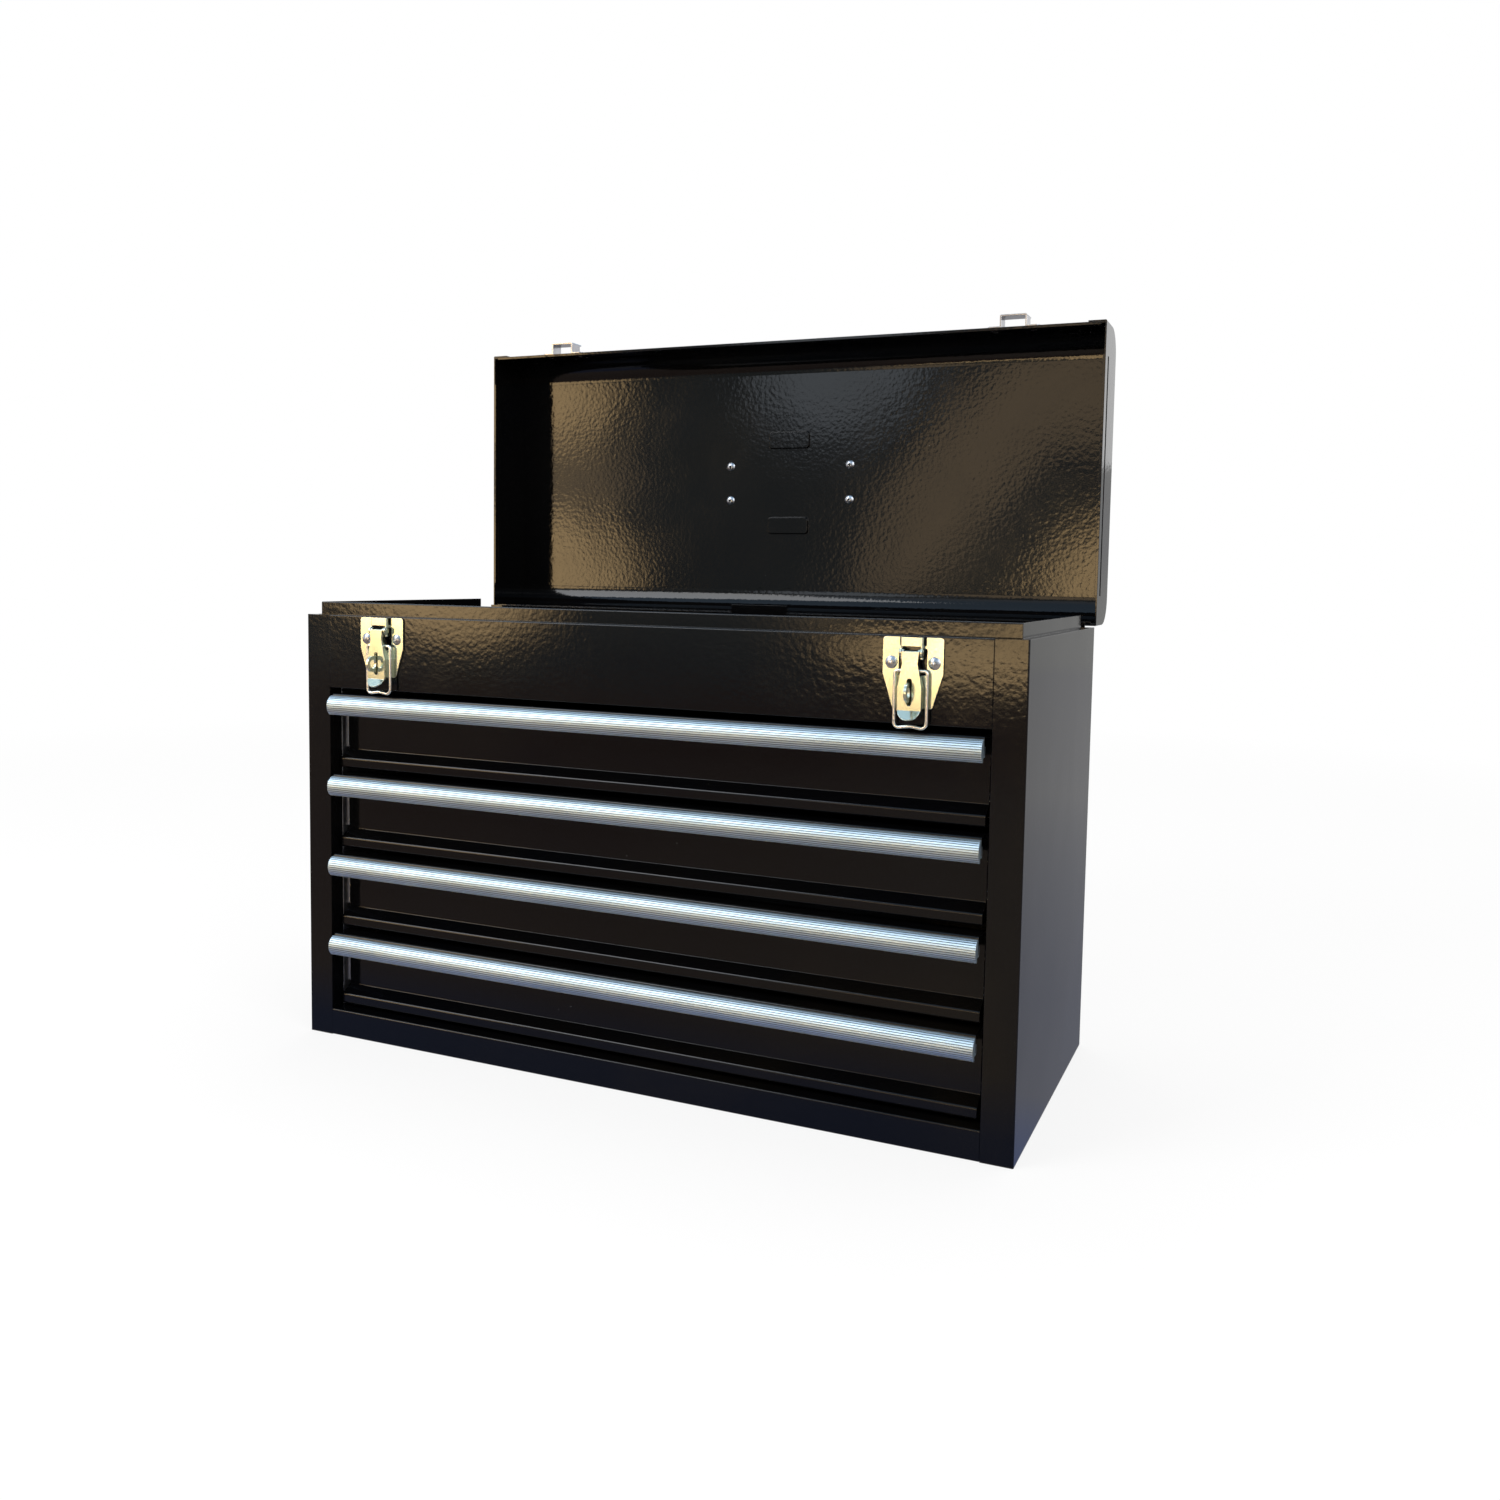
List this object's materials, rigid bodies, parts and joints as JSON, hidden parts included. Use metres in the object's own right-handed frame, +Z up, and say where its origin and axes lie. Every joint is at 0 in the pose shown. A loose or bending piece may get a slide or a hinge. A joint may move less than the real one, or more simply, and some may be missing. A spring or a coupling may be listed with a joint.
{
  "type": "machinist tool chest",
  "caption": "Black steel machinist tool chest with a hinged lid, an open top till, ribbed aluminium drawer pulls and two toggle latches, shown with its lid up.",
  "frame": {"origin": "centre of the footprint, on the underside of the base", "axes": "+Z up; drawers open along -Y; +X to the right seen from the front"},
  "size_m": [0.52, 0.2997, 0.5326],
  "materials": {
    "black_enamel": "gloss black enamel, slight orange peel",
    "plated_steel": "zinc plated",
    "ribbed_aluminium": "satin, lengthwise ribs",
    "latch_plating": "pale yellow plating, bright",
    "catch_plating": "bright nickel plate",
    "rivet_steel": "bright steel",
    "handle_chrome": "nickel plate"
  },
  "bodies": {
    "chest": {"side_panel_left": "black_enamel", "side_panel_right": "black_enamel", "back_panel": "black_enamel", "bottom_panel": "black_enamel", "front_panel": "black_enamel", "till_floor": "black_enamel", "slide_liner_left": "plated_steel", "slide_liner_right": "plated_steel", "hinge_leaf_body": "rivet_steel", "hinge_pin": "rivet_steel", "latch_rivets": "rivet_steel", "latch_base_left": "latch_plating", "latch_base_right": "latch_plating", "latch_pin_left": "latch_plating", "latch_pin_right": "latch_plating", "slide_outer_left_1": "plated_steel", "slide_outer_left_2": "plated_steel", "slide_outer_left_3": "plated_steel", "slide_outer_left_4": "plated_steel", "slide_outer_right_1": "plated_steel", "slide_outer_right_2": "plated_steel", "slide_outer_right_3": "plated_steel", "slide_outer_right_4": "plated_steel"},
    "lid": {"lid_shell": "black_enamel", "lid_end_left": "black_enamel", "lid_end_right": "black_enamel", "hinge_leaf_lid": "rivet_steel", "catch_left": "catch_plating", "catch_right": "catch_plating", "catch_rivets": "rivet_steel", "handle_bracket_left": "handle_chrome", "handle_bracket_right": "handle_chrome", "handle_rivets": "rivet_steel"},
    "carry_handle": {"carry_handle": "handle_chrome"},
    "drawer_1": {"drawer_tray_1": "black_enamel", "drawer_handle_1": "ribbed_aluminium", "slide_inner_left_1": "plated_steel", "slide_inner_right_1": "plated_steel"},
    "ball_cages_1": {"slide_cages_1": "plated_steel"},
    "drawer_2": {"drawer_tray_2": "black_enamel", "drawer_handle_2": "ribbed_aluminium", "slide_inner_left_2": "plated_steel", "slide_inner_right_2": "plated_steel"},
    "ball_cages_2": {"slide_cages_2": "plated_steel"},
    "drawer_3": {"drawer_tray_3": "black_enamel", "drawer_handle_3": "ribbed_aluminium", "slide_inner_left_3": "plated_steel", "slide_inner_right_3": "plated_steel"},
    "ball_cages_3": {"slide_cages_3": "plated_steel"},
    "drawer_4": {"drawer_tray_4": "black_enamel", "drawer_handle_4": "ribbed_aluminium", "slide_inner_left_4": "plated_steel", "slide_inner_right_4": "plated_steel"},
    "ball_cages_4": {"slide_cages_4": "plated_steel"},
    "lever_left": {"latch_lever_left": "latch_plating"},
    "bail_left": {"latch_bail_left": "latch_plating"},
    "lever_right": {"latch_lever_right": "latch_plating"},
    "bail_right": {"latch_bail_right": "latch_plating"}
  },
  "joints": [
    {"name": "lid_hinge", "type": "hinge", "parent": "chest", "child": "lid", "pos_m": [0, 0.11385, 0.30285], "axis": [1, 0, 0], "range_deg": [0, 90]},
    {"name": "carry_handle_swing", "type": "hinge", "parent": "lid", "child": "carry_handle", "pos_m": [0, 0.16785, 0.41545], "axis": [1, 0, 0], "range_deg": [0, 180]},
    {"name": "drawer_1_slide", "type": "slide", "parent": "chest", "child": "drawer_1", "axis": [0, -1, 0], "range_m": [0, 0.13]},
    {"name": "ball_cages_1_slide", "type": "slide", "parent": "chest", "child": "ball_cages_1", "axis": [0, -1, 0], "range_m": [0, 0.065]},
    {"name": "drawer_2_slide", "type": "slide", "parent": "chest", "child": "drawer_2", "axis": [0, -1, 0], "range_m": [0, 0.13]},
    {"name": "ball_cages_2_slide", "type": "slide", "parent": "chest", "child": "ball_cages_2", "axis": [0, -1, 0], "range_m": [0, 0.065]},
    {"name": "drawer_3_slide", "type": "slide", "parent": "chest", "child": "drawer_3", "axis": [0, -1, 0], "range_m": [0, 0.13]},
    {"name": "ball_cages_3_slide", "type": "slide", "parent": "chest", "child": "ball_cages_3", "axis": [0, -1, 0], "range_m": [0, 0.065]},
    {"name": "drawer_4_slide", "type": "slide", "parent": "chest", "child": "drawer_4", "axis": [0, -1, 0], "range_m": [0, 0.13]},
    {"name": "ball_cages_4_slide", "type": "slide", "parent": "chest", "child": "ball_cages_4", "axis": [0, -1, 0], "range_m": [0, 0.065]},
    {"name": "latch_lever_left_swing", "type": "hinge", "parent": "chest", "child": "lever_left", "pos_m": [-0.1925, -0.1142, 0.2963], "axis": [-1, 0, 0], "range_deg": [0, 115]},
    {"name": "latch_bail_left_swing", "type": "hinge", "parent": "lever_left", "child": "bail_left", "pos_m": [-0.1925, -0.1142, 0.2858], "axis": [1, 0, 0], "range_deg": [-180, 0]},
    {"name": "latch_lever_right_swing", "type": "hinge", "parent": "chest", "child": "lever_right", "pos_m": [0.1925, -0.1142, 0.2963], "axis": [-1, 0, 0], "range_deg": [0, 115]},
    {"name": "latch_bail_right_swing", "type": "hinge", "parent": "lever_right", "child": "bail_right", "pos_m": [0.1925, -0.1142, 0.2858], "axis": [1, 0, 0], "range_deg": [-180, 0]}
  ],
  "couplings": [
    {"joint": "ball_cages_1_slide", "follows": "drawer_1_slide", "ratio": 0.5},
    {"joint": "ball_cages_2_slide", "follows": "drawer_2_slide", "ratio": 0.5},
    {"joint": "ball_cages_3_slide", "follows": "drawer_3_slide", "ratio": 0.5},
    {"joint": "ball_cages_4_slide", "follows": "drawer_4_slide", "ratio": 0.5}
  ]
}
